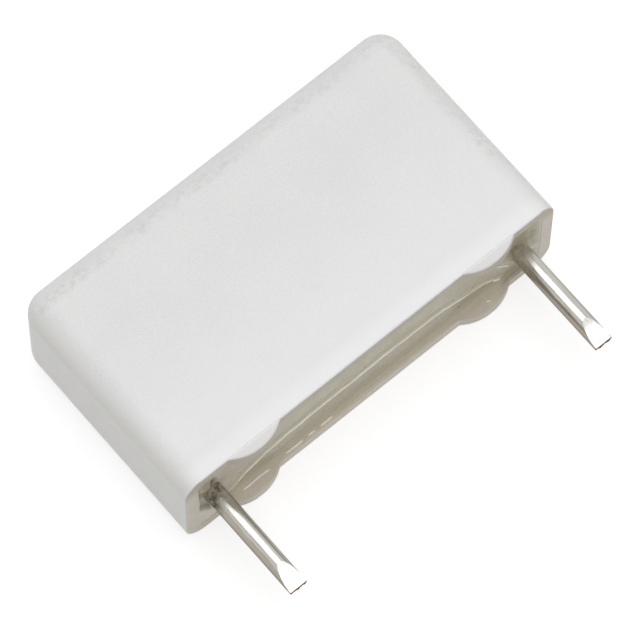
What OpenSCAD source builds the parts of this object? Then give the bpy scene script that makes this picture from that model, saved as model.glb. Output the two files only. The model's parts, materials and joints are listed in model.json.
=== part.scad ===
// Radial box film capacitor for a 15 mm lead pitch.
// A flat-pressed film winding with sprayed metal ends stands in a moulded box and is potted in resin.
// Two tinned wires leave the open mouth, and four rounded feet hold that mouth off the board.
//
// Every piece is drawn standing on its feet: X runs along the lead row, Y across the thickness,
// and Z from the rim of the mouth (0) up to the closed end. lay_down() then puts it on a broad face.

/* [Case] */
// Length of the case, along the lead row
case_length = 18; // [17:0.1:24]
// Thickness of the case, between its two broad faces
case_thickness = 5.5; // [5:0.1:9]
// Height of the case, from the rim of the mouth to the closed end
case_height = 9.9; // [8.5:0.1:16]
// Thickness of the four side walls
wall = 0.6; // [0.5:0.05:0.8]
// Thickness of the closed end
end_wall = 0.75; // [0.5:0.05:1]
// Radius of the upright edges and of the edges round the closed end
edge_r = 1.05; // [0.6:0.05:1.3]
// Radius of the outer edge of the rim
rim_r = 0.07; // [0.05:0.01:0.3]
// Radius of the corners inside the case
cavity_r = 0.35; // [0.2:0.05:0.6]

/* [Feet] */
// Height of the feet below the rim
foot_height = 0.4; // [0.3:0.05:0.7]
// Radius of the round outline of a foot
foot_r = 2.1; // [1.8:0.05:2.4]
// How much of the round outline is flattened where a foot meets the board
foot_flat = 0.02; // [0.01:0.01:0.08]
// Distance between the two feet of one wall, middle to middle
foot_spread = 11.4; // [9:0.1:11.8]
// Step from the broad face in to the face of a foot
foot_step = 0.03; // [0.02:0.01:0.1]
// Rounding of the outer edge of a foot
foot_edge_r = 0.08; // [0.05:0.01:0.2]
// Radius where a foot grows out of the rim
foot_root_r = 0.25; // [0.1:0.05:0.4]

/* [Leads] */
// Distance between the two leads, middle to middle
lead_pitch = 15; // [14:0.1:15.2]
// Diameter of the lead wire
lead_d = 0.8; // [0.6:0.05:0.9]
// Length of the leads beyond the feet
lead_length = 4.3; // [3:0.1:25]
// Length of the wedge that the cutters leave at the tip
tip_length = 1.15; // [0.6:0.05:1.6]
// Thickness of the pinched edge at the end of the wedge
tip_edge = 0.08; // [0.04:0.01:0.2]
// Thickness of the wire where it is pressed flat for welding
pressed_t = 0.38; // [0.3:0.01:0.45]
// Width of the wire where it is pressed flat
pressed_w = 1.32; // [1.1:0.02:1.5]
// Length over which the round wire runs out into the flat
pressed_run = 0.9; // [0.5:0.1:1.5]
// How far the flat stops short of the winding's far edge
pressed_short = 1.4; // [0.8:0.1:2.5]
// How deep the wire bites into the sprayed metal
weld_bite = 0.05; // [0.02:0.01:0.08]

/* [Winding] */
// Gap between the winding and the broad wall it was pushed against
gap_near = 0.1; // [0.05:0.05:0.3]
// Gap between the winding and the other broad wall
gap_far = 0.7; // [0.2:0.05:1]
// Gap between the winding and the closed end
gap_end = 0.25; // [0.1:0.05:0.5]
// Depth of the winding below the rim
winding_depth = 1.5; // [1.2:0.1:2.5]
// Thickness of the metal sprayed on each end of the winding
spray_t = 0.4; // [0.2:0.05:0.6]
// Margin of bare film round the sprayed metal
spray_margin = 0.08; // [0.04:0.01:0.2]

/* [Potting] */
// Depth of the resin below the rim where it wets the wall
resin_depth = 0.06; // [0.04:0.01:0.2]
// Width of the level wet edge along the wall
resin_land = 0.06; // [0.03:0.01:0.15]
// Extra depth of the resin along the middle of the mouth
resin_sag = 0.26; // [0.1:0.01:0.4]
// Radius of the resin that climbs each lead
collar_r = 0.28; // [0.15:0.01:0.32]
// Thickness of the collar's lip on the lead
collar_lip = 0.03; // [0.02:0.01:0.06]

/* [Hidden] */
$fn = 64;
// Overlap that joins a foot to the wall above it
root_overlap = rim_r + 0.1;
// How far a cutting tool runs past what it cuts
clear = 1;

cavity_t = case_thickness - 2 * wall;
cavity_top = case_height - end_wall;

winding_t = cavity_t - gap_near - gap_far;
winding_y = (gap_far - gap_near) / 2;
winding_top = cavity_top - gap_end;
spray_outer_x = lead_pitch / 2 - lead_d / 2 + weld_bite;
winding_length = 2 * (spray_outer_x - spray_t);

foot_t = wall - foot_step;
foot_centre_z = foot_r - foot_height - foot_flat;

tip_z = -foot_height - lead_length;

// The resin's surface is one round trough along the case
trough_half = cavity_t / 2 - resin_land;
trough_r = (pow(trough_half, 2) + pow(resin_sag, 2)) / (2 * resin_sag);
trough_z = resin_depth + resin_sag - trough_r;
resin_at_lead_z = trough_z + sqrt(pow(trough_r, 2) - pow(winding_y, 2));
collar_tip_z = resin_at_lead_z - collar_r;
// The pressing starts just inside the collar, and the round wire laps a little into it
pressed_z = collar_tip_z + 0.02;
pressed_lap = 0.03;

// Turns a standing piece on its broad face, with the middle of the whole part over the origin
module lay_down() {
    translate([0, -(case_height + tip_z) / 2, case_thickness / 2])
        rotate([-90, 0, 0])
            children();
}

// Half of a wall's section, from the axis of an upright edge outwards, with round ends
module edge_profile(width, height, bottom_r, top_r) {
    translate([0, bottom_r])
        square([width, height - bottom_r - top_r]);
    square([width - bottom_r, height - top_r]);
    translate([width - bottom_r, bottom_r])
        intersection() {
            circle(bottom_r);
            translate([0, -bottom_r])
                square(bottom_r);
        }
    translate([width - top_r, height - top_r])
        intersection() {
            circle(top_r);
            square(top_r);
        }
    if (width > top_r)
        square([width - top_r, height]);
}

// Carries a profile round the sides of a box and fills the middle
module round_box(length, thickness, corner_r, height) {
    x = length / 2 - corner_r;
    y = thickness / 2 - corner_r;
    translate([-x, -y, 0])
        cube([2 * x, 2 * y, height]);
    for (turn = [0, 180])
        rotate(turn) {
            translate([-x, y, 0])
                rotate([90, 0, 90])
                    linear_extrude(2 * x)
                        children();
            translate([x, y, 0])
                rotate([90, 0, 0])
                    linear_extrude(2 * y)
                        children();
        }
    for (corner = [[1, 1, 0], [-1, 1, 90], [-1, -1, 180], [1, -1, 270]])
        translate([corner.x * x, corner.y * y, 0])
            rotate(corner.z)
                rotate_extrude(angle = 90)
                    children();
}

// The space inside the case, from a given height up to the closed end
module cavity(from_z) {
    height = cavity_top - from_z;
    translate([0, 0, from_z])
        round_box(case_length - 2 * wall, cavity_t, cavity_r, height) {
            square([cavity_r, height - cavity_r]);
            translate([0, height - cavity_r])
                intersection() {
                    circle(cavity_r);
                    square(cavity_r);
                }
        }
}

// The two small concave corners where the round outline of a foot runs into the rim
module foot_roots() {
    reach = sqrt(pow(foot_r + foot_root_r, 2) - pow(foot_centre_z + foot_root_r, 2));
    share = foot_r / (foot_r + foot_root_r);
    touch = [share * reach, foot_centre_z - share * (foot_centre_z + foot_root_r)];
    difference() {
        polygon([[-reach, root_overlap], [reach, root_overlap], [reach, 0], touch,
                 [-touch.x, touch.y], [-reach, 0]]);
        for (side = [-1, 1])
            translate([side * reach, -foot_root_r])
                circle(foot_root_r);
    }
}

// One foot, with its outer face on the plane y = 0 and its body towards -Y
module foot() {
    intersection() {
        translate([0, -foot_t, foot_centre_z])
            rotate([-90, 0, 0])
                rotate_extrude()
                    foot_section();
        translate([-foot_r, -foot_t, -foot_height])
            cube([2 * foot_r, foot_t, foot_height + root_overlap]);
    }
    translate([0, -foot_edge_r, 0])
        rotate([90, 0, 0])
            linear_extrude(foot_t - foot_edge_r)
                foot_roots();
}

// Section of a foot's round outline, with its outer edge rounded
module foot_section() {
    square([foot_r, foot_t - foot_edge_r]);
    square([foot_r - foot_edge_r, foot_t]);
    translate([foot_r - foot_edge_r, foot_t - foot_edge_r])
        intersection() {
            circle(foot_edge_r);
            square(foot_edge_r);
        }
}

module case() {
    color("#e4e4e1")
        difference() {
            union() {
                round_box(case_length, case_thickness, edge_r, case_height)
                    edge_profile(edge_r, case_height, rim_r, edge_r);
                for (turn = [0, 180], side = [-1, 1])
                    rotate(turn)
                        translate([side * foot_spread / 2, case_thickness / 2 - foot_step, 0])
                            foot();
            }
            cavity(-foot_height - clear);
        }
}

// Outline of the winding pressed flat, seen along its axis
module winding_outline(margin) {
    r = winding_t / 2 - margin;
    low = winding_depth + winding_t / 2;
    high = winding_top - winding_t / 2;
    translate([winding_y, 0]) {
        translate([-r, low])
            square([2 * r, high - low]);
        for (z = [low, high])
            translate([0, z])
                circle(r);
    }
}

// Carries an outline seen along X from x over a length
module along_x(x, length) {
    translate([x, 0, 0])
        rotate([90, 0, 90])
            linear_extrude(length)
                children();
}

module film_winding() {
    color("#d9d6cc")
        along_x(-winding_length / 2, winding_length)
            winding_outline(0);
}

// Metal sprayed on the end of the winding at +X
module end_spray() {
    color("#9a9c9e")
        along_x(winding_length / 2, spray_t)
            winding_outline(spray_margin);
}

// Side view of the flat that the press leaves, against the sprayed metal
module pressed_side() {
    inner = -lead_d / 2 + weld_bite;
    top = winding_top - pressed_short;
    outer = lead_d / 2 + weld_bite;
    polygon([[inner, pressed_z - clear], [outer, pressed_z - clear], [outer, pressed_z],
             [inner + pressed_t, pressed_z + pressed_run], [inner + pressed_t, top], [inner, top]]);
}

// The lead at +X: round outside the resin, wedge-cut at the tip, pressed flat inside
module lead() {
    run_end = pressed_z + pressed_run;
    color("#b9b7ae")
        translate([lead_pitch / 2, winding_y, 0]) {
            difference() {
                translate([0, 0, tip_z])
                    cylinder(d = lead_d, h = pressed_z + pressed_lap - tip_z);
                for (side = [-1, 1])
                    along_x(-clear, 2 * clear)
                        polygon([[side * tip_edge / 2, tip_z], [side * lead_d / 2, tip_z + tip_length],
                                 [side * lead_d, tip_z + tip_length], [side * lead_d, tip_z - clear],
                                 [side * tip_edge / 2, tip_z - clear]]);
            }
            intersection() {
                union() {
                    translate([0, 0, pressed_z])
                        cylinder(d1 = lead_d, d2 = pressed_w, h = pressed_run);
                    translate([0, 0, run_end])
                        cylinder(d = pressed_w, h = winding_top - pressed_short - run_end);
                }
                translate([0, pressed_w / 2, 0])
                    rotate([90, 0, 0])
                        linear_extrude(pressed_w)
                            pressed_side();
            }
        }
}

// Resin drawn up round the lead at +X by its surface tension
module collar() {
    width = lead_d / 2 + collar_lip + collar_r;
    translate([lead_pitch / 2, winding_y, collar_tip_z])
        rotate_extrude()
            difference() {
                square([width, collar_r + resin_sag / 2]);
                translate([width, 0])
                    circle(collar_r);
            }
}

module potting_resin() {
    color("#9b9284")
        difference() {
            union() {
                difference() {
                    cavity(resin_depth);
                    translate([-case_length / 2, 0, trough_z])
                        rotate([0, 90, 0])
                            cylinder(r = trough_r, h = case_length);
                }
                collar();
                mirror([1, 0, 0])
                    collar();
            }
            film_winding();
            for (side = [0, 1])
                mirror([side, 0, 0]) {
                    end_spray();
                    lead();
                }
        }
}

lay_down()
        case();
lay_down()
        potting_resin();
lay_down()
        film_winding();
lay_down()  // end_spray_left
        mirror([1, 0, 0])
            end_spray();
lay_down()  // end_spray_right
        end_spray();
lay_down()  // lead_left
        mirror([1, 0, 0])
            lead();
lay_down()  // lead_right
        lead();
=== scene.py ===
# %% [markdown]
# # A box film capacitor, finished over its CAD frame
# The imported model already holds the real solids: the moulded case, the cast resin, the winding
# and the two wire leads. This lesson gives each of them its finish and adds what a mould, a
# pouring needle and a wire cutter leave behind. The part is small, so every size is in
# millimetres and is turned into metres by one factor.

# %% Load the frame
import json
import math

import bmesh
import bpy
import numpy as np
from mathutils import Matrix, Vector


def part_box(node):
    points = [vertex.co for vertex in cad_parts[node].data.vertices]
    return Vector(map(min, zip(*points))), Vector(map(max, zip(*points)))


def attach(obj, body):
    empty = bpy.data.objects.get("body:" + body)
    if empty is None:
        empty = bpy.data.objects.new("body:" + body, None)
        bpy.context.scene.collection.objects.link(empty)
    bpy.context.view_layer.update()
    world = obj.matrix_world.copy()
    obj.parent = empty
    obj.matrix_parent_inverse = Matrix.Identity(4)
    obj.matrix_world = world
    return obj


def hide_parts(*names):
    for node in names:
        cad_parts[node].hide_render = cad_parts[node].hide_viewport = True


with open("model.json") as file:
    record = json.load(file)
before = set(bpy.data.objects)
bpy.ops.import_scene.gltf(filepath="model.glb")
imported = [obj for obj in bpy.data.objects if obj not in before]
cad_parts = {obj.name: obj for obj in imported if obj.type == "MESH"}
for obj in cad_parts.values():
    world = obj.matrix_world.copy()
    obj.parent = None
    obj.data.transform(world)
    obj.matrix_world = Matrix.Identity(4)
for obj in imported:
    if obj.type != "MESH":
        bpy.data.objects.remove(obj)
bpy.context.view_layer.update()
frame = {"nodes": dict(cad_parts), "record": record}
nodes = frame["nodes"]
MM = 0.001
print("nodes:", sorted(nodes))

# %% [markdown]
# ## Where things are
# Most places come from the frame: the box of each solid, and the mounts, which say where the
# leads leave the part. The height of the feet and their place along the case are given as numbers.

# %% Where things are
case_low, case_high = (Vector(c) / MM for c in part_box("case"))
resin_low, resin_high = (Vector(c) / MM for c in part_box("potting_resin"))
winding_low = Vector(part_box("film_winding")[0]) / MM
mounts = {m["name"]: m for m in frame["record"]["mounts"]}
seat_y = mounts["lead_pair"]["pos_m"][1] / MM
lead_z = mounts["lead_pair"]["pos_m"][2] / MM
lead_x = mounts["lead_right"]["pos_m"][0] / MM
lead_radius = mounts["lead_right"]["dims"]["r_mm"]
foot_height = 0.4  # from the rim to the board
foot_x = 5.7  # from the middle of the case to the middle of a foot
rim_y = seat_y + foot_height
end_x = resin_high.x
floor_z, roof_z = resin_low.z, resin_high.z
middle_z = case_high.z / 2
print("rim at y", round(rim_y, 3), "cavity x", round(end_x, 3),
      "z", round(floor_z, 3), round(roof_z, 3))
print("lead axis x, z:", lead_x, lead_z, "radius", lead_radius)

# %% [markdown]
# ## Camera
# A long lens, a good way off, looks down on the broad face from the left of the leads. Its axes
# are built from azimuth, elevation and roll, so each of the three can be turned alone.

# %% Camera
view_azimuth = math.radians(-41.18)
view_elevation = math.radians(69.31)
view_roll = math.radians(1.10)
view_distance = 0.2317
focal_mm = 345.3
part_middle = Vector((0, 0.0024, 0.0025))
shift_right, shift_down = 0.00131, 0.00156

def view_axes(azimuth, elevation, roll):
    """Right, up and back vectors of a camera that looks along -back."""
    back = Vector((math.sin(azimuth) * math.cos(elevation),
                   -math.cos(azimuth) * math.cos(elevation), math.sin(elevation)))
    right = Vector((0, 0, 1)).cross(back).normalized()
    up = back.cross(right)
    turn = Matrix.Rotation(roll, 3, back)
    return turn @ right, turn @ up, back

right, up, back = view_axes(view_azimuth, view_elevation, view_roll)
aim = part_middle + right * shift_right - up * shift_down
camera = bpy.data.objects.new("camera", bpy.data.cameras.new("camera"))
camera.data.lens = focal_mm
camera.data.sensor_width = 36
camera.data.clip_start = 0.01
camera.data.clip_end = 10
axes = Matrix((right, up, back)).transposed().to_4x4()
camera.matrix_world = Matrix.Translation(aim + back * view_distance) @ axes
bpy.context.collection.objects.link(camera)
scene = bpy.context.scene
scene.camera = camera
scene.view_settings.view_transform = "Standard"
print("camera at mm:", [round(v / MM, 1) for v in camera.matrix_world.translation])

# %% [markdown]
# ## Node helpers
# Every finish below is a small tree of nodes on the object's own coordinates. These helpers keep
# each one to a few lines: a place on the part, a grain of a given size, a soft span between two
# values, a product, and a mix of two colours.

# %% Node helpers
def node(tree, kind, inputs=None, **settings):
    """A node with its settings made and its loose inputs set by name."""
    made = tree.nodes.new(kind)
    for key, value in settings.items():
        setattr(made, key, value)
    for key, value in (inputs or {}).items():
        if hasattr(value, "is_linked"):
            tree.links.new(value, made.inputs[key])
        else:
            made.inputs[key].default_value = value
    return made

def finish(name, **sockets):
    """A new material, its tree and its shader, with plain sockets set."""
    made = bpy.data.materials.new(name)
    made.use_nodes = True
    tree = made.node_tree
    shader = tree.nodes["Principled BSDF"]
    for key, value in sockets.items():
        shader.inputs[key.replace("_", " ")].default_value = value
    return made, tree, shader

def place(tree, stretch=(1, 1, 1)):
    """The point on the object, in millimetres, stretched along its axes."""
    point = node(tree, "ShaderNodeTexCoord").outputs["Object"]
    scale = [s / MM for s in stretch]
    return node(tree, "ShaderNodeMapping", {"Vector": point, "Scale": scale}).outputs["Vector"]

def split(tree, vector):
    """The x, y and z of a vector."""
    return node(tree, "ShaderNodeSeparateXYZ", {"Vector": vector}).outputs

def grain(tree, vector, size, detail=3.0, rough=0.6):
    """Noise with lumps about as large as size."""
    made = node(tree, "ShaderNodeTexNoise", {"Vector": vector, "Scale": 1 / size,
                                             "Detail": detail, "Roughness": rough})
    return made.outputs["Fac"]

def span(tree, value, low, high, start=0.0, end=1.0):
    """A soft change from start to end while value goes from low to high."""
    made = node(tree, "ShaderNodeMapRange", {"Value": value, "From Min": low, "From Max": high,
                                             "To Min": start, "To Max": end},
                interpolation_type="SMOOTHSTEP")
    return made.outputs["Result"]

def calc(tree, operation, a, b=0.0, c=0.0):
    """One sum on up to three values."""
    made = node(tree, "ShaderNodeMath", operation=operation)
    for socket, value in zip(made.inputs, (a, b, c)):
        if hasattr(value, "is_linked"):
            tree.links.new(value, socket)
        else:
            socket.default_value = value
    return made.outputs["Value"]

def times(tree, first, *others):
    """Values multiplied together, such as masks that all have to hold."""
    for other in others:
        first = calc(tree, "MULTIPLY", first, other)
    return first

def distance(tree, a, b):
    """How far a and b carry together, at right angles."""
    squares = calc(tree, "ADD", calc(tree, "POWER", a, 2.0), calc(tree, "POWER", b, 2.0))
    return calc(tree, "SQRT", squares)

def tint(tree, factor, base, other):
    """A mix of two colours, or of a colour and a colour socket."""
    made = node(tree, "ShaderNodeMix", data_type="RGBA")
    for index, value in ((0, factor), (6, base), (7, other)):
        if hasattr(value, "is_linked"):
            tree.links.new(value, made.inputs[index])
        else:
            made.inputs[index].default_value = value if index == 0 else (*value, 1)
    return made.outputs[2]

def relief(tree, shader, height, depth):
    """Bump of a given depth in millimetres on a shader."""
    bump = node(tree, "ShaderNodeBump", {"Height": height, "Distance": depth * MM, "Strength": 1.0})
    tree.links.new(bump.outputs["Normal"], shader.inputs["Normal"])

def drive(tree, shader, **sockets):
    """Links sockets of the shader."""
    for key, value in sockets.items():
        tree.links.new(value, shader.inputs[key.replace("_", " ")])

def dress(name, made):
    """Gives a CAD node its finish."""
    for slot in nodes[name].material_slots:
        slot.material = made

# %% [markdown]
# ## Light and bench
# A wide softbox hangs over the bench, a little behind the part, and a studio dome fills the rest.
# A lamp can light a white bench only by overlighting the part too, so the bench and the backdrop
# are made white for what looks at them, straight or in a mirror, and stay an ordinary pale grey
# for the light that they throw back. The backdrop falls back to the plain dome overhead, which
# gives the polished wire a dark line beside its bright one. The bench darkens in the part's
# shadow, and glows a little more far out, where the softbox doesn't reach it.

# %% Light and bench
def softbox(name, spot, size, watts, target=(0, 0, 0.003)):
    """A rectangular lamp turned towards a target."""
    lamp = bpy.data.lights.new(name, "AREA")
    lamp.shape = "RECTANGLE"
    lamp.size, lamp.size_y = size
    lamp.energy = watts
    holder = bpy.data.objects.new(name, lamp)
    holder.location = spot
    holder.rotation_euler = (Vector(spot) - Vector(target)).to_track_quat("Z", "Y").to_euler()
    bpy.context.collection.objects.link(holder)

softbox("top_softbox", spot=(0.02, 0.02, 0.30), size=(0.30, 0.34), watts=0.66)

def looked_at(tree):
    """1 for a ray that a camera, a mirror or a glass sends, 0 for plain light."""
    path = node(tree, "ShaderNodeLightPath").outputs
    seen = calc(tree, "MAXIMUM", path["Is Camera Ray"], path["Is Glossy Ray"])
    return calc(tree, "MAXIMUM", seen, path["Is Transmission Ray"])

dome_level = 0.40
overhead, aside = 0.92, 0.60  # heights on the dome where the white backdrop ends and is full
world = bpy.data.worlds.new("studio")
scene.world = world
world.use_nodes = True
tree = world.node_tree
dome = tree.nodes["Background"]
dome.inputs["Color"].default_value = (1, 1, 1, 1)
height = split(tree, node(tree, "ShaderNodeTexCoord").outputs["Generated"])["Z"]
backdrop = times(tree, looked_at(tree), span(tree, height, overhead, aside))
tree.links.new(calc(tree, "MULTIPLY_ADD", backdrop, 1 - dome_level, dome_level),
               dome.inputs["Strength"])

bpy.ops.mesh.primitive_plane_add(size=2.0, location=(0, 0, case_low.z * MM))
bench = bpy.context.object
bench.name = "bench"
bench_finish, tree, shader = finish("pale_bench", Roughness=0.9)
here = place(tree)
speck = grain(tree, here, 4.0)
drive(tree, shader, Base_Color=tint(tree, speck, (0.84, 0.84, 0.84), (0.88, 0.88, 0.88)))
shade = node(tree, "ShaderNodeBsdfDiffuse", {"Color": (0.40, 0.40, 0.40, 1)})
x, y, z = split(tree, here)
far_out = span(tree, distance(tree, x, y), 20, 380, 0.70, 0.87)
glow = node(tree, "ShaderNodeEmission", {"Strength": far_out})
white = node(tree, "ShaderNodeAddShader")
tree.links.new(shade.outputs[0], white.inputs[0])
tree.links.new(glow.outputs[0], white.inputs[1])
choice = node(tree, "ShaderNodeMixShader", {"Fac": looked_at(tree)})
tree.links.new(shader.outputs[0], choice.inputs[1])
tree.links.new(white.outputs[0], choice.inputs[2])
tree.links.new(choice.outputs[0], tree.nodes["Material Output"].inputs["Surface"])
bench.data.materials.append(bench_finish)

# %% [markdown]
# ## Case
# The case is moulded in a pale filled polyester, in a spark-eroded mould, so its skin is matt with
# a grain of about a tenth of a millimetre. The filler makes slow clouds in the colour, and open
# pores hold a little dirt. Light is painted on the top towards the mouth, shade on the upper feet
# and warm shade on the sides, and painted shade lies in speckled patches on the roundings along
# the upper edge of the closed end and along one side edge.

# %% Case skin
def case_skin(tree, here):
    """The moulded skin: two whites in slow clouds, with grey pores."""
    cool_white, warm_white = (0.735, 0.744, 0.738), (0.768, 0.766, 0.764)
    pore_grey = (0.61, 0.61, 0.60)
    clouds = span(tree, grain(tree, here, 2.4, 2.0), 0.3, 0.7)
    pores = span(tree, grain(tree, here, 0.09, 2.0, 0.7), 0.35, 0.70, 0.0, 0.30)
    return tint(tree, pores, tint(tree, clouds, cool_white, warm_white), pore_grey)

def light_and_shade_on_faces(tree, body, here):
    """Painted light on the top near the mouth, painted shade on the upper feet, warm on the sides.
    """
    x, y, z = split(tree, here)
    on_top = span(tree, z, case_high.z - 0.4, case_high.z - 0.1)
    # Painted light on the top, rising towards the mouth and most of all close to the rim.
    slow_rise = times(tree, span(tree, y, 4.5, rim_y + 0.5), 0.42)
    edge_rise = times(tree, span(tree, y, rim_y + 1.0, rim_y + 0.3), 0.40)
    body = tint(tree, times(tree, calc(tree, "ADD", slow_rise, edge_rise), on_top),
                body, (0.86, 0.86, 0.86))
    # Painted shade on the tops of the upper feet.
    on_foot = times(tree, span(tree, y, rim_y + 0.02, rim_y - 0.06), on_top, 0.7)
    body = tint(tree, on_foot, body, (0.66, 0.655, 0.64))
    # Warm painted shade on the side faces.
    on_side = span(tree, calc(tree, "ABSOLUTE", x), case_high.x - 0.7, case_high.x - 0.05)
    return tint(tree, times(tree, on_side, 0.5), body, (0.765, 0.745, 0.70))

def shaded_edges(tree, body, here):
    """Painted shade in speckled patches on the roundings along the closed end and one side."""
    x, y, z = split(tree, here)
    by_end = times(tree, span(tree, y, case_high.y - 1.15, case_high.y - 0.85),
                   span(tree, y, case_high.y - 0.35, case_high.y - 0.6))
    by_side = times(tree, span(tree, x, case_high.x - 0.95, case_high.x - 0.6),
                    span(tree, y, rim_y + 0.5, rim_y + 3.5))
    near_edge = times(tree, calc(tree, "MAXIMUM", by_end, by_side),
                      span(tree, z, case_high.z - 0.6, case_high.z - 0.3))
    # Painted shade on the edge roundings, broken into speckled patches.
    patches = span(tree, grain(tree, here, 1.3, 1.0), 0.35, 0.65, 0.35, 1.0)
    edge_speckle = span(tree, grain(tree, here, 0.30, 5.0, 0.75), 0.42, 0.66, 0.0, 0.58)
    return tint(tree, times(tree, near_edge, patches, edge_speckle), body, (0.56, 0.575, 0.54))

# %% [markdown]
# ## The mouth of the case
# A little resin has seeped over the rim, and warm shade is painted there as well, so the rim and
# the inner faces of the lower feet are warmer and darker than the outside. This stain and painted
# shade is lightest on the lower rim between the feet and darkest on the upper rim. All of it is
# painted by place.

# %% Case finish
def stain_and_shade_mouth(tree, body, here):
    """The rim and the inner faces near it: resin stain and painted warm shade."""
    x, y, z = split(tree, here)
    far_x = calc(tree, "ABSOLUTE", x)
    far_z = calc(tree, "ABSOLUTE", calc(tree, "SUBTRACT", z, middle_z))
    front = times(tree, span(tree, y, rim_y + 0.07, rim_y + 0.01),
                  span(tree, z, case_high.z - 0.04, case_high.z - 0.12))
    inner_walls = times(tree, span(tree, far_x, end_x + 0.10, end_x + 0.03),
                        span(tree, far_z, middle_z - 0.42, middle_z - 0.50),
                        span(tree, y, rim_y + 2.5, rim_y + 1.5))
    # Part resin stain, part painted warm shade: lightest on the lower rim between the feet, darkest
    # on the upper rim.
    stain_and_shade = tint(tree, grain(tree, here, 0.35, 3.0), (0.62, 0.55, 0.475), (0.70, 0.65, 0.56))
    between_feet = times(tree, span(tree, far_x, 4.6, 3.8), 0.7)
    stain_and_shade = tint(tree, between_feet, stain_and_shade, (0.74, 0.68, 0.585))
    stain_and_shade = tint(tree, span(tree, z, 4.0, 4.9), stain_and_shade, (0.50, 0.455, 0.36))
    return tint(tree, calc(tree, "MAXIMUM", front, inner_walls), body, stain_and_shade)

case_finish, tree, shader = finish("case_plastic", IOR=1.5)
here = place(tree)
body = case_skin(tree, here)
for layer in (light_and_shade_on_faces, shaded_edges, stain_and_shade_mouth):
    body = layer(tree, body, here)
drive(tree, shader, Base_Color=body,
      Roughness=span(tree, grain(tree, here, 0.6), 0.3, 0.7, 0.42, 0.52))
relief(tree, shader, grain(tree, here, 0.11, 3.0, 0.65), 0.009)
dress("case", case_finish)
print("case faces:", len(nodes["case"].data.polygons))

# %% [markdown]
# ## Leads
# Tinned copper wire is drawn through a die, so it carries fine lines along its length, and hot
# tinning leaves slow waves across it. A dark reflection is painted on one side of each wire, up to
# a ragged edge.
# The pliers that cut it squeeze the end to a wedge with bright faces and lay the copper bare on
# the very edge. Close to the resin the wire is stained brown and matt, less so on the right one.

# %% Lead finish
def dark_reflection_side(tree, metal, off_axis, draw_lines, waves):
    """A painted dark reflection on the side that faces -x."""
    ragged = times(tree, calc(tree, "SUBTRACT", waves, 0.5), 0.12)
    reflection_colour = tint(tree, draw_lines, (0.33, 0.30, 0.25), (0.46, 0.425, 0.37))
    dark_reflection = span(tree, calc(tree, "ADD", off_axis, ragged), -0.215, -0.255)
    return tint(tree, dark_reflection, metal, reflection_colour)

def root_stain(tree, here, off_axis):
    """How stained the wire is, from 0 outside to 1 in the resin, and the colour of the stain."""
    x, y, z = split(tree, here)
    edge = calc(tree, "ADD", y, times(tree, grain(tree, here, 0.3), 0.9))
    edge = calc(tree, "SUBTRACT", edge, times(tree, off_axis, 0.7))
    brown = tint(tree, span(tree, grain(tree, here, 0.2, 3.0, 0.6), 0.35, 0.65),
                 (0.13, 0.115, 0.08), (0.40, 0.37, 0.29))
    brown = tint(tree, span(tree, x, -1, 1, 0.0, 0.5), brown, (0.42, 0.385, 0.30))
    return span(tree, edge, rim_y - 0.25, rim_y + 0.55), brown

def squeezed_faces(tree, here, off_axis):
    """1 on the two faces of the wedge, which lie inside the round of the wire."""
    x, y, z = split(tree, here)
    off_centre = distance(tree, off_axis, calc(tree, "SUBTRACT", z, lead_z))
    return times(tree, span(tree, y, lead_tip + 1.0, lead_tip + 0.7),
                 span(tree, off_centre, lead_radius - 0.003, lead_radius - 0.015),
                 span(tree, calc(tree, "ABSOLUTE", off_axis), 0.38, 0.34))

lead_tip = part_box("lead_right")[0][1] / MM
tin_finish, tree, shader = finish("tinned_wire", Specular_Tint=(0.42, 0.40, 0.34, 1))
here = place(tree)
x, y, z = split(tree, here)
off_axis = calc(tree, "SUBTRACT", x, times(tree, calc(tree, "SIGN", x), lead_x))
draw_lines = grain(tree, place(tree, (1, 0.03, 1)), 0.045, 3.0, 0.7)
waves = grain(tree, place(tree, (1, 0.35, 1)), 0.35, 2.0)
metal = tint(tree, draw_lines, (0.46, 0.445, 0.405), (0.62, 0.61, 0.575))
# Painted dark reflection on the -x side of each wire.
metal = dark_reflection_side(tree, metal, off_axis, draw_lines, waves)
stain, brown = root_stain(tree, here, off_axis)
metal = tint(tree, stain, metal, brown)
bright_tin = tint(tree, draw_lines, (0.80, 0.795, 0.77), (0.92, 0.915, 0.90))
metal = tint(tree, squeezed_faces(tree, here, off_axis), metal, bright_tin)
metal = tint(tree, span(tree, y, lead_tip + 0.035, lead_tip + 0.012), metal, (0.15, 0.075, 0.05))
shine = span(tree, draw_lines, 0.3, 0.7, 0.16, 0.30)
drive(tree, shader, Base_Color=metal, Metallic=calc(tree, "SUBTRACT", 1.0, stain),
      Roughness=calc(tree, "ADD", shine, times(tree, stain, 0.35)))
relief(tree, shader, calc(tree, "ADD", draw_lines, times(tree, waves, 2.0)), 0.002)
dress("lead_left", tin_finish)
dress("lead_right", tin_finish)
print("lead tips at y", round(lead_tip, 3))

# %% [markdown]
# ## Winding and sprayed ends
# These two sit behind the resin and never show, but they still get the finish that a part sawn
# open would show. The winding is metallised film, so it has thin bright layers that follow
# its thickness. The ends are sprayed zinc, which lands as a dull crust of tiny drops.

# %% Winding and spray finish
film_finish, tree, shader = finish("metallised_film", Metallic=0.7)
layers = grain(tree, place(tree, (0.05, 0.05, 1)), 0.05, 2.0)
drive(tree, shader, Base_Color=tint(tree, layers, (0.42, 0.43, 0.45), (0.72, 0.72, 0.74)),
      Roughness=span(tree, layers, 0.3, 0.7, 0.25, 0.45))
relief(tree, shader, layers, 0.01)
dress("film_winding", film_finish)

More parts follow.
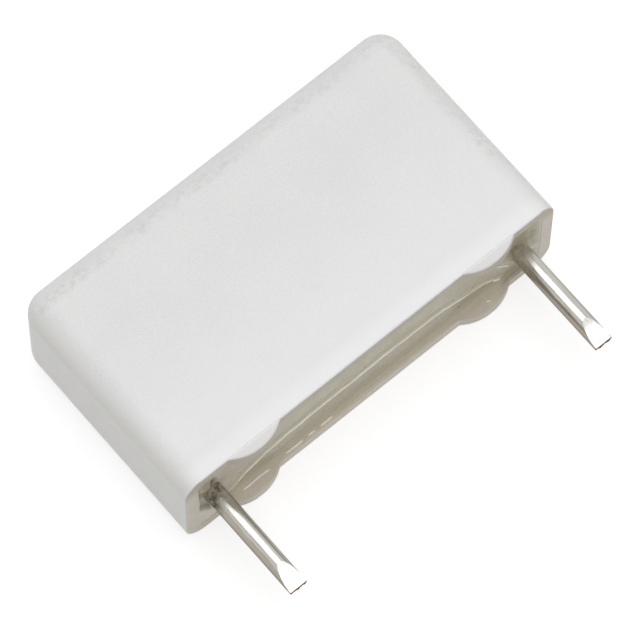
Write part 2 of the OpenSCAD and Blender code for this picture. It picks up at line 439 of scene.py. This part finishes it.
spray_finish, tree, shader = finish("sprayed_zinc", Metallic=0.8)
drops = grain(tree, place(tree), 0.08, 4.0, 0.7)
drive(tree, shader, Base_Color=tint(tree, drops, (0.30, 0.30, 0.31), (0.55, 0.55, 0.56)),
      Roughness=span(tree, drops, 0.3, 0.7, 0.55, 0.8))
relief(tree, shader, drops, 0.03)
dress("end_spray_left", spray_finish)
dress("end_spray_right", spray_finish)

# %% [markdown]
# ## The face of the resin
# Liquid resin fills the mouth and is pulled up where it touches something: along the walls, far up
# the inner faces of the feet, and round each lead. As it cures it shrinks, so the middle sinks and
# a fold stays across it, and beside the left lead it has drawn away and left a pocket. The face is
# a rule for the depth below the rim at any x and z, so a grid of points is pushed back by that
# rule. Rows crowd together at the walls and at the fold, where the face bends most.

# %% The fold across the resin
fold_turns = [(-6.95, 0.85), (-6.8, 0.98), (-6.55, 1.35), (-6.2, 1.87), (-5.32, 2.25),
              (-4.19, 2.45), (-2.8, 2.61), (-1.36, 2.68), (0.61, 2.73), (2.2, 2.72),
              (3.6, 2.57), (4.6, 2.26), (5.65, 1.80), (6.26, 1.36), (6.58, 1.03), (6.85, 0.85)]

def smooth_step(value, low, high):
    """0 below low, 1 above high and a soft change between."""
    t = np.clip((np.asarray(value, float) - low) / (high - low), 0, 1)
    return t * t * (3 - 2 * t)

def fold_height(x):
    """Height of the fold at x, smoothed between its turning points."""
    turn_x, turn_z = np.array(fold_turns).T
    x = np.asarray(x, float)
    reach = 0.3 + 1.0 * np.clip(1 - (x / 6.6) ** 2, 0, 1)
    nearby = [np.interp(x + share * reach, turn_x, turn_z) for share in np.linspace(-1, 1, 15)]
    return np.mean(nearby, axis=0)

def lump(x, z, middle, size, height):
    """A rounded hill of resin, or a hollow where its height is below zero."""
    far = ((x - middle[0]) / size[0]) ** 2 + ((z - middle[1]) / size[1]) ** 2
    return height * np.exp(-far)

print("fold heights:", fold_height(np.array([-6, -3, 0, 3, 6])).round(2))

# %% Depth of the resin below the rim
sunk = 0.25  # depth in the open middle
wet_edge = 0.012  # depth where the resin wets an end wall
corner_sink = 0.10  # how much deeper it lies above each lead
pocket_depth = 0.17  # how much deeper the pocket by the left lead is
right_rise = 0.23  # how much higher it stands at the right end
foot_rise = 0.13  # how far it stands out past the rim on a foot
deepest = 0.75
fold_swell, fold_width = 0.02, 0.8  # the broad rise that carries the fold
ridge_height, ridge_width = 0.025, 0.07  # the fold's own sharp ridge
collar_height, collar_width = 0.30, 0.11  # the resin drawn up round a lead

# Slow waves in the skin: how fast each runs along x and z, where it starts, and its height.
skin_waves = [(0.9, 1.7, 0.3, 0.010), (2.3, -0.8, 1.9, 0.007), (-1.6, 3.9, 4.0, 0.005),
              (5.1, 2.6, 2.2, 0.004), (7.3, -5.8, 0.7, 0.003)]

# Lumps by the leads: the middle x and z of each, its width and height on the face, and how far
# it stands out, or sinks where that is below zero.
end_lumps = [((-7.69, 3.33), (0.10, 0.10), 0.10), ((-7.50, 3.20), (0.10, 0.14), -0.16),
             ((7.36, 3.95), (0.20, 0.07), 0.05), ((7.60, 3.46), (0.16, 0.06), 0.06),
             ((7.85, 2.90), (0.13, 0.07), 0.09), ((8.02, 2.35), (0.15, 0.20), 0.13),
             ((8.10, 3.05), (0.10, 0.08), 0.07), ((7.95, 1.55), (0.20, 0.20), -0.06),
             ((8.05, 3.70), (0.12, 0.18), -0.05)]

def climb(off_wall, reach):
    """How far resin climbs a wall: a round fillet that meets the wall along it."""
    inside = np.clip(reach - off_wall, 0, reach)
    return reach - np.sqrt(np.maximum(reach ** 2 - inside ** 2, 0))

def foot_share(x):
    """1 under the middle of a foot and 0 away from it."""
    return 1 - smooth_step(np.abs(np.abs(x) - foot_x), 0.75, 1.5)

def pocket(x, z):
    """1 in the shallow pocket between the left lead and the end wall, 0 outside it."""
    corners = [(-8.38, 2.35), (-7.78, 1.55), (-7.66, 2.85), (-8.22, 3.65)]
    inside = np.ones(np.shape(x))
    for (ax, az), (bx, bz) in zip(corners, corners[1:] + corners[:1]):
        length = math.hypot(bx - ax, bz - az)
        off = ((bx - ax) * (z - az) - (bz - az) * (x - ax)) / length
        inside *= smooth_step(off, -0.03, 0.06)
    return inside

def sunk_corner(x, z):
    """1 above and inward of each lead, where the resin sank most."""
    across = smooth_step(np.abs(x), 6.3, 7.1) * (1 - smooth_step(np.abs(x), 7.5, 7.9))
    return across * smooth_step(z, lead_z - 0.2, lead_z + 0.5)

def flush_end(x, z):
    """1 at the left end wall, where the resin stands level with the rim."""
    edge = 7.25 + 0.45 * smooth_step(z, 2.0, 2.8)
    return smooth_step(-x, edge, edge + 0.35) * (1 - 0.6 * smooth_step(z, 2.9, 3.4))

def resin_depth(x, z):
    """Depth of the resin face below the rim plane."""
    fold = fold_height(x)
    inner = 1 - smooth_step(np.abs(x), 6.6, 6.95)
    hollow = sunk_corner(x, z)
    flush = flush_end(x, z)
    depth = np.full(np.shape(x), sunk)
    depth -= fold_swell * inner * np.exp(-((z - fold) / fold_width) ** 2)
    depth -= ridge_height * inner * np.exp(-((z - fold) / ridge_width) ** 2)
    depth += corner_sink * hollow
    for along, across, phase, height in skin_waves:
        depth += height * np.sin(along * x + across * z + phase)
    depth -= climb(z - floor_z, 0.16 + 0.12 * foot_share(x))
    depth -= climb(roof_z - z, 0.20 + 0.06 * foot_share(x))
    depth -= climb(end_x + x, 0.22)
    depth -= right_rise * smooth_step(x, 7.75, end_x)
    for side in (-1, 1):
        away = np.hypot(x - side * lead_x, z - lead_z) - lead_radius
        depth -= collar_height * (1 - hollow) * np.exp(-np.maximum(away, 0) / collar_width)
    depth = depth * (1 - flush) + wet_edge * flush
    depth += pocket_depth * pocket(x, z)
    for spot, size, height in end_lumps:
        depth -= lump(x, z, spot, size, height)
    by_end = smooth_step(np.abs(x), end_x - 0.16, end_x - 0.01)
    depth = depth * (1 - by_end) + wet_edge * by_end
    return np.clip(depth, wet_edge - foot_rise * foot_share(x), deepest)

for name, x, z in (("middle", 0, 2.0), ("above the fold", 0, 3.2), ("pocket", -8.0, 2.8)):
    print("depth at the", name, resin_depth(np.array([x]), np.array([z])).round(3))

# %% The resin as a closed block
def crowded(low, high, count, power=1.7):
    """Steps from low to high that crowd together at both ends."""
    t = np.linspace(-1, 1, count)
    return low + (high - low) * (0.5 + 0.5 * np.sign(t) * (1 - (1 - np.abs(t)) ** power))

def resin_grid(columns, rows_low, rows_high):
    """Grid points x and z: rows follow the fold, and the rim lies a lap inside all round."""
    x = crowded(-end_x - lap, end_x + lap, columns, 1.25)
    fold = fold_height(x)
    t_low, t_high = crowded(0, 1, rows_low), crowded(0, 1, rows_high)
    below = floor_z - lap + (fold - floor_z + lap)[:, None] * t_low
    above = fold[:, None] + (roof_z + lap - fold)[:, None] * t_high
    z = np.concatenate([below, above[:, 1:]], axis=1)
    return np.repeat(x[:, None], z.shape[1], axis=1), z

def block_from_face(name, x, z, y_face, y_back):
    """A closed block with a shaped face towards -y and a flat back."""
    columns, rows = x.shape
    front = np.stack([x, y_face, z], axis=-1).reshape(-1, 3)
    rear = np.stack([x, np.full_like(x, y_back), z], axis=-1).reshape(-1, 3)
    count = columns * rows
    index = np.arange(count).reshape(columns, rows)
    a, b, c, d = index[:-1, :-1], index[1:, :-1], index[1:, 1:], index[:-1, 1:]
    faces = np.stack([a, b, c, d], axis=-1).reshape(-1, 4)
    ring = np.concatenate([index[:, 0], index[-1, 1:], index[-2::-1, -1], index[0, -2:0:-1]])
    after = np.roll(ring, -1)
    skirt = np.stack([after, ring, ring + count, after + count], axis=-1)
    quads = np.concatenate([faces, faces[:, ::-1] + count, skirt])
    mesh = bpy.data.meshes.new(name)
    mesh.from_pydata((np.concatenate([front, rear]) * MM).tolist(), [], quads.tolist())
    mesh.validate()
    made = bpy.data.objects.new(name, mesh)
    bpy.context.collection.objects.link(made)
    return made

def point_out(made):
    """Turns every face of a closed mesh outwards."""
    work = bmesh.new()
    work.from_mesh(made.data)
    bmesh.ops.recalc_face_normals(work, faces=work.faces)
    work.to_mesh(made.data)
    work.free()

lap = 0.05  # how far the block reaches into the walls, so that no gap shows
# The block ends at the front of the winding. The casting goes on round the winding, but the case
# hides that, so only the CAD solid has it.
grid_x, grid_z = resin_grid(columns=260, rows_low=50, rows_high=48)
grid_depth = resin_depth(grid_x, grid_z)
resin = block_from_face("cast_resin", grid_x, grid_z, rim_y + grid_depth, winding_low.y)
point_out(resin)
resin.data.shade_smooth()
resin.data.set_sharp_from_angle(angle=math.radians(60))
print("resin triangles:", sum(len(p.vertices) - 2 for p in resin.data.polygons))

# %% [markdown]
# ## Resin finish
# The resin is a filled epoxy, beige-brown and fairly glossy. Above the fold it is paler and below
# it the colour is deeper, paler again along the lower wall, and a cream painted highlight runs
# along the fold. Where it wets an end wall it has the tone of the rim, and shade is painted into
# the pockets and pits by the leads. A colour that follows the fold can't be painted by place, so
# the grid keeps the share of each tone as numbers on its points, and the nodes read them.

# %% Resin finish
def keep(made, name, values):
    """Stores one number for each point of the front, and its mean for the back."""
    layer = made.data.attributes.new(name, "FLOAT", "POINT")
    flat = np.asarray(values, float).ravel()
    rear = np.full(len(made.data.vertices) - flat.size, flat.mean())
    layer.data.foreach_set("value", np.concatenate([flat, rear]))

def lumps(spots):
    """The sum of several lumps over the grid."""
    return sum(lump(grid_x, grid_z, middle, size, height) for middle, size, height in spots)

# Painted shade in the pockets and pits by the leads, and pale spots: the middle x and z, the width
# and height, and the strength.
pit_shades = [((-7.48, 3.15), (0.10, 0.22), 0.9), ((-7.72, 2.45), (0.10, 0.28), 0.8),
              ((-7.95, 4.2), (0.35, 0.6), 0.16), ((7.10, 2.7), (0.10, 0.35), 0.35),
              ((7.75, 3.7), (0.45, 0.35), 0.15), ((8.05, 1.7), (0.15, 0.3), 0.2)]
pale_spots = [((8.0, 2.3), (0.16, 0.25), 0.8), ((-7.69, 3.33), (0.10, 0.10), 1.0),
              ((-6.85, 2.6), (0.35, 0.9), 0.35)]

inner_share = 1 - smooth_step(np.abs(grid_x), 6.5, 7.0)
over_fold = grid_z - fold_height(grid_x)
in_pocket = pocket(grid_x, grid_z)
flush = flush_end(grid_x, grid_z) * (1 - in_pocket) + 0.6 * smooth_step(grid_x, 8.1, 8.35)
above_fold = smooth_step(over_fold, -0.03, 0.12)
# Paler above the fold and deeper below it.
keep(resin, "pale_above_fold", above_fold * inner_share + 0.75 * (1 - inner_share))
# Painted shade in the pocket and pits.
keep(resin, "pit_shade", np.clip(0.35 * in_pocket + lumps(pit_shades), 0, 1))
keep(resin, "flush_corner", np.clip(flush + lumps(pale_spots), 0, 1))
# A cream painted highlight along the fold, which also lightens the shade just above its ridge.
keep(resin, "fold_highlight", inner_share * np.exp(-((over_fold - 0.04) / 0.08) ** 2))
keep(resin, "by_wall", inner_share * (1 - smooth_step(grid_z - floor_z, 0.15, 0.8)))

def kept(tree, name):
    """A number that the mesh keeps on its points."""
    return node(tree, "ShaderNodeAttribute", attribute_name=name).outputs["Fac"]

resin_finish, tree, shader = finish("potting_epoxy", IOR=1.45)
here = place(tree)
filler = grain(tree, here, 0.16, 4.0, 0.65)
drift = grain(tree, place(tree, (0.35, 1, 1)), 0.9, 2.0)
pale = tint(tree, drift, (0.475, 0.435, 0.31), (0.53, 0.49, 0.36))
deep = tint(tree, drift, (0.43, 0.375, 0.265), (0.49, 0.435, 0.315))
deep = tint(tree, kept(tree, "by_wall"), deep, (0.60, 0.54, 0.42))
epoxy = tint(tree, kept(tree, "pale_above_fold"), deep, pale)
# Painted highlight along the fold.
epoxy = tint(tree, kept(tree, "fold_highlight"), epoxy, (0.82, 0.78, 0.66))
epoxy = tint(tree, span(tree, filler, 0.55, 0.8, 0.0, 0.45), epoxy, (0.70, 0.66, 0.56))
epoxy = tint(tree, kept(tree, "flush_corner"), epoxy, (0.64, 0.57, 0.49))
# Painted shade in the pockets and pits.
epoxy = tint(tree, kept(tree, "pit_shade"), epoxy, (0.15, 0.12, 0.08))
drive(tree, shader, Base_Color=epoxy,
      Roughness=span(tree, grain(tree, here, 0.5), 0.3, 0.7, 0.26, 0.40))
relief(tree, shader, filler, 0.010)
resin.data.materials.append(resin_finish)
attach(resin, "root")
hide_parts("potting_resin")

# %% [markdown]
# ## Flow lines
# Where one tongue of resin ran over another its edge stayed as a raised thread, thinner than a
# hair, that catches the lamp, and it is painted near white as a painted highlight. One runs along
# the fold and shorter ones lie by the lower wall and on a foot. A thread is a round profile swept
# along a path, which is just what Geometry Nodes are for: the path goes in as a chain of points on
# the resin face, is cut into even steps, given a radius that tapers and wavers, and comes out as a
# mesh.

# %% Node tree for a thread along a path
def new_tree(name, sockets):
    """An empty geometry tree with named inputs; gives the tree and its input node."""
    tree = bpy.data.node_groups.new(name, "GeometryNodeTree")
    tree.interface.new_socket("Geometry", in_out="INPUT", socket_type="NodeSocketGeometry")
    for label, kind in sockets:
        tree.interface.new_socket(label, in_out="INPUT", socket_type="NodeSocket" + kind)
    tree.interface.new_socket("Geometry", in_out="OUTPUT", socket_type="NodeSocketGeometry")
    return tree, node(tree, "NodeGroupInput").outputs

def close_tree(tree, geometry, finish_socket):
    """Ends a tree in real geometry with its material."""
    real = node(tree, "GeometryNodeRealizeInstances", {"Geometry": geometry}).outputs[0]
    smooth = node(tree, "GeometryNodeSetShadeSmooth", {"Geometry": real}).outputs[0]
    dressed = node(tree, "GeometryNodeSetMaterial", {"Geometry": smooth, "Material": finish_socket})
    node(tree, "NodeGroupOutput", {"Geometry": dressed.outputs[0]})

def run_tree(made, tree, values):
    """Runs a tree on an object and leaves its result as a plain mesh."""
    modifier = made.modifiers.new(tree.name, "NODES")
    modifier.node_group = tree
    for item in tree.interface.items_tree:
        if item.in_out == "INPUT" and item.name in values:
            modifier[item.identifier] = values[item.name]
    seen = made.evaluated_get(bpy.context.evaluated_depsgraph_get())
    plain = bpy.data.meshes.new_from_object(seen)
    made.modifiers.clear()
    made.data = plain
    print(made.name, "triangles:", sum(len(p.vertices) - 2 for p in plain.polygons))

thread_tree, given = new_tree("thread_along_path", [("Radius", "Float"), ("Step", "Float"),
                                                    ("Waver", "Float"), ("Finish", "Material")])
path = node(thread_tree, "GeometryNodeMeshToCurve", {"Mesh": given["Geometry"]}).outputs[0]
path = node(thread_tree, "GeometryNodeResampleCurve", {"Curve": path, "Length": given["Step"]},
            mode="LENGTH").outputs[0]
along = node(thread_tree, "GeometryNodeSplineParameter").outputs["Factor"]
ends = times(thread_tree, along, calc(thread_tree, "SUBTRACT", 1.0, along))
taper = span(thread_tree, ends, 0.0, 0.09, 0.12, 1.0)
spot = node(thread_tree, "GeometryNodeInputPosition").outputs[0]
waver_length = 0.5 * MM
waver = node(thread_tree, "ShaderNodeTexNoise", {"Vector": spot, "Scale": 1 / waver_length})
thinnest = calc(thread_tree, "SUBTRACT", 1.0, times(thread_tree, given["Waver"], 0.5))
width = calc(thread_tree, "MULTIPLY_ADD", waver.outputs["Fac"], given["Waver"], thinnest)
radius = times(thread_tree, given["Radius"], times(thread_tree, taper, width))
ring = node(thread_tree, "GeometryNodeCurvePrimitiveCircle", {"Resolution": 8, "Radius": 1.0})
thread = node(thread_tree, "GeometryNodeCurveToMesh", {
    "Curve": path, "Profile Curve": ring.outputs[0], "Scale": radius, "Fill Caps": True})
close_tree(thread_tree, thread.outputs[0], given["Finish"])

# %% Flow lines on the resin
def on_face(x, z, sink):
    """Points on the resin face, sunk a little so a thread is bedded in it."""
    y = rim_y + resin_depth(x, z) + sink
    return list(zip(x.tolist(), y.tolist(), z.tolist()))

def threads(name, runs, thread_radius, thread_finish, waver=0.7):
    """One piece of several threads, each along its own run of points."""
    verts, edges = [], []
    for points in runs:
        first, last = len(verts), len(verts) + len(points) - 1
        verts += [[v * MM for v in point] for point in points]
        edges += [(i, i + 1) for i in range(first, last)]
    mesh = bpy.data.meshes.new(name)
    mesh.from_pydata(verts, edges, [])
    made = bpy.data.objects.new(name, mesh)
    bpy.context.collection.objects.link(made)
    run_tree(made, thread_tree, {"Radius": thread_radius * MM, "Step": 0.05 * MM, "Waver": waver,
                                 "Finish": thread_finish})
    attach(made, "root")
    return made

def fold_run(start, end, count=160):
    """Points along the fold from one x to another."""
    x = np.linspace(start, end, count)
    return on_face(x, fold_height(x) + 0.012, -0.024)

def slant_run(start, end, count=30):
    """Points on a straight slant across the resin face."""
    t = np.linspace(0, 1, count)
    x = start[0] + (end[0] - start[0]) * t
    z = start[1] + (end[1] - start[1]) * t
    return on_face(x, z, -0.006)

def wall_run(start, end, count=40):
    """Points along the edge of the resin on the lower wall."""
    x = np.linspace(start, end, count)
    return on_face(x, np.full(count, floor_z + 0.012), 0.0)

foot_dash = [(5.71 + 0.19 * t, -2.67 - 0.08 * t, floor_z + 0.015) for t in np.linspace(0, 1, 12)]
# The threads are painted near white, a painted highlight on top of the lamp that they catch.
thread_highlight_finish, tree, shader = finish("resin_thread_highlight", IOR=1.8, Roughness=0.2)
beads = grain(tree, place(tree), 0.12)
drive(tree, shader, Base_Color=tint(tree, beads, (0.93, 0.90, 0.78), (0.98, 0.96, 0.88)))
flow_lines = threads("flow_lines", [
    fold_run(-6.78, 5.65), fold_run(6.26, 6.60), slant_run((6.42, 2.46), (7.05, 1.62)),
    wall_run(-6.25, -4.9), wall_run(-4.05, -3.2), wall_run(-2.95, -2.6), wall_run(-2.35, -1.75),
    foot_dash], 0.040, thread_highlight_finish)

# %% [markdown]
# ## Grains and bubbles
# The resin is full of ground filler and tiny bubbles, and some of them stand just proud of its
# skin. They are hundreds of small flattened balls, so one ball is made and Geometry Nodes scatter
# it over the front of the resin: the seed is fixed, so every run puts them in the same places.

# %% Node tree that scatters grains
grain_tree, given = new_tree("grains_on_face", [("Density", "Float"), ("Small", "Float"),
                                                ("Large", "Float"), ("Seed", "Int"),
                                                ("Finish", "Material")])
facing = node(grain_tree, "GeometryNodeInputNormal").outputs[0]
front = calc(grain_tree, "LESS_THAN", split(grain_tree, facing)["Y"], -0.5)
spread = node(grain_tree, "GeometryNodeDistributePointsOnFaces", {
    "Mesh": given["Geometry"], "Selection": front, "Density": given["Density"],
    "Seed": given["Seed"]})
ball = node(grain_tree, "GeometryNodeMeshIcoSphere", {"Radius": 1.0, "Subdivisions": 2})
size = node(grain_tree, "FunctionNodeRandomValue", data_type="FLOAT")
for key, value in (("Min_001", given["Small"]), ("Max_001", given["Large"]),
                   ("Seed", given["Seed"])):
    socket = next(s for s in size.inputs if s.identifier == key)
    grain_tree.links.new(value, socket)
size = next(s for s in size.outputs if s.enabled)
flat = node(grain_tree, "ShaderNodeCombineXYZ", {
    "X": calc(grain_tree, "MULTIPLY", size, 1.5), "Y": size,
    "Z": calc(grain_tree, "MULTIPLY", size, 0.5)}).outputs[0]
scattered = node(grain_tree, "GeometryNodeInstanceOnPoints", {
    "Points": spread.outputs["Points"], "Instance": ball.outputs["Mesh"],
    "Rotation": spread.outputs["Rotation"], "Scale": flat}).outputs[0]
close_tree(grain_tree, scattered, given["Finish"])

# %% Grains in the resin
grain_finish, tree, shader = finish("resin_filler", IOR=1.5, Roughness=0.3)
shades = grain(tree, place(tree), 0.4)
drive(tree, shader, Base_Color=tint(tree, span(tree, shades, 0.4, 0.6), (0.55, 0.50, 0.38),
                                    (0.80, 0.76, 0.66)))
filler_grains = bpy.data.objects.new("filler_grains", resin.data.copy())
bpy.context.collection.objects.link(filler_grains)
run_tree(filler_grains, grain_tree, {"Density": 5.0 / MM ** 2, "Small": 0.006 * MM,
                                     "Large": 0.012 * MM, "Seed": 11, "Finish": grain_finish})
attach(filler_grains, "root")

# %% [markdown]
# ## Residue round the leads
# Where each wire leaves the resin it keeps a ragged sleeve of flux and bled resin, thickest where
# the face sank. It is one fat, short thread round the wire, in a matt brown finish.

# %% Residue round the leads
sleeve_finish, tree, shader = finish("flux_residue", IOR=1.5, Roughness=0.55)
here = place(tree)
crust = grain(tree, here, 0.22, 3.0, 0.6)
brown = tint(tree, span(tree, crust, 0.35, 0.65), (0.15, 0.13, 0.09), (0.38, 0.35, 0.27))
paler_right = span(tree, split(tree, here)["X"], -1, 1, 0.0, 0.5)
drive(tree, shader, Base_Color=tint(tree, paler_right, brown, (0.42, 0.385, 0.30)))
relief(tree, shader, crust, 0.012)
for side, label in ((-1, "left"), (1, "right")):
    root_run = [(side * lead_x, rim_y - 0.04 + 0.02 * i, lead_z) for i in range(45)]
    threads("wire_residue_" + label, [root_run], lead_radius + 0.03, sleeve_finish, waver=0.08)

# %% [markdown]
# ## Burr on the cut wires
# Pliers don't cut clean: the soft tin is dragged over the edge and a ragged lip of copper is left
# along the end of the wedge. It is the same kind of thread as a flow line, only copper.

# %% Burr on the cut wires
copper_finish, tree, shader = finish("bare_copper", Metallic=1.0, Roughness=0.38)
worn = grain(tree, place(tree), 0.06)
drive(tree, shader, Base_Color=tint(tree, span(tree, worn, 0.4, 0.65), (0.06, 0.035, 0.025),
                                    (0.40, 0.22, 0.15)))

def burr_run(side, count=24):
    """Points along the lower edge of a wedge's end, dragged a little to and fro."""
    x = np.linspace(-0.37, 0.37, count)
    drag = 0.012 * np.sin(17 * x + side) + 0.008 * np.sin(41 * x)
    return [(side * lead_x + a, lead_tip + 0.006 + b, lead_z - 0.035 + 0.5 * b)
            for a, b in zip(x, drag)]

for side, label in ((-1, "left"), (1, "right")):
    threads("cut_burr_" + label, [burr_run(side)], 0.028, copper_finish)

# %% [markdown]
# ## Gate scar
# The plastic entered the mould in the middle of the closed end. Where the runner was snapped off
# there is a shallow round land with a torn stub in it, turned here from half of its section.

# %% Gate scar
def turned(name, section, unevenness, count=48):
    """A closed solid turned about an axis along y; section is radius and height."""
    made = bmesh.new()
    rings = []
    for radius, height in section:
        ring = []
        for i in range(count if radius > 0 else 1):
            angle = 2 * math.pi * i / count
            ragged = 1 + unevenness * (math.sin(3 * angle) + 0.6 * math.sin(7 * angle + 1))
            ring.append(made.verts.new((Vector((
                radius * ragged * math.cos(angle), case_high.y + height,
                middle_z + radius * ragged * math.sin(angle))) * MM)))
        rings.append(ring)
    for low, high in zip(rings, rings[1:]):
        for i in range(count):
            a, b = low[i % len(low)], low[(i + 1) % len(low)]
            c, d = high[(i + 1) % len(high)], high[i % len(high)]
            made.faces.new(list(dict.fromkeys((a, b, c, d))))
    bmesh.ops.recalc_face_normals(made, faces=made.faces)
    mesh = bpy.data.meshes.new(name)
    made.to_mesh(mesh)
    made.free()
    mesh.shade_smooth()
    piece = bpy.data.objects.new(name, mesh)
    bpy.context.collection.objects.link(piece)
    return piece

# Radius and height of each corner: the sunk foot, the raised land, the dip and the torn stub.
scar_section = [(0, -0.05), (0.62, -0.05), (0.62, 0.0), (0.60, 0.018), (0.56, 0.022), (0.50, 0.020),
                (0.34, 0.006), (0.26, 0.008), (0.22, 0.045), (0.15, 0.060), (0.07, 0.048),
                (0, 0.052)]
gate_scar = turned("gate_scar", scar_section, 0.012)
gate_scar.data.materials.append(case_finish)
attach(gate_scar, "root")
print("gate scar triangles:", sum(len(p.vertices) - 2 for p in gate_scar.data.polygons))
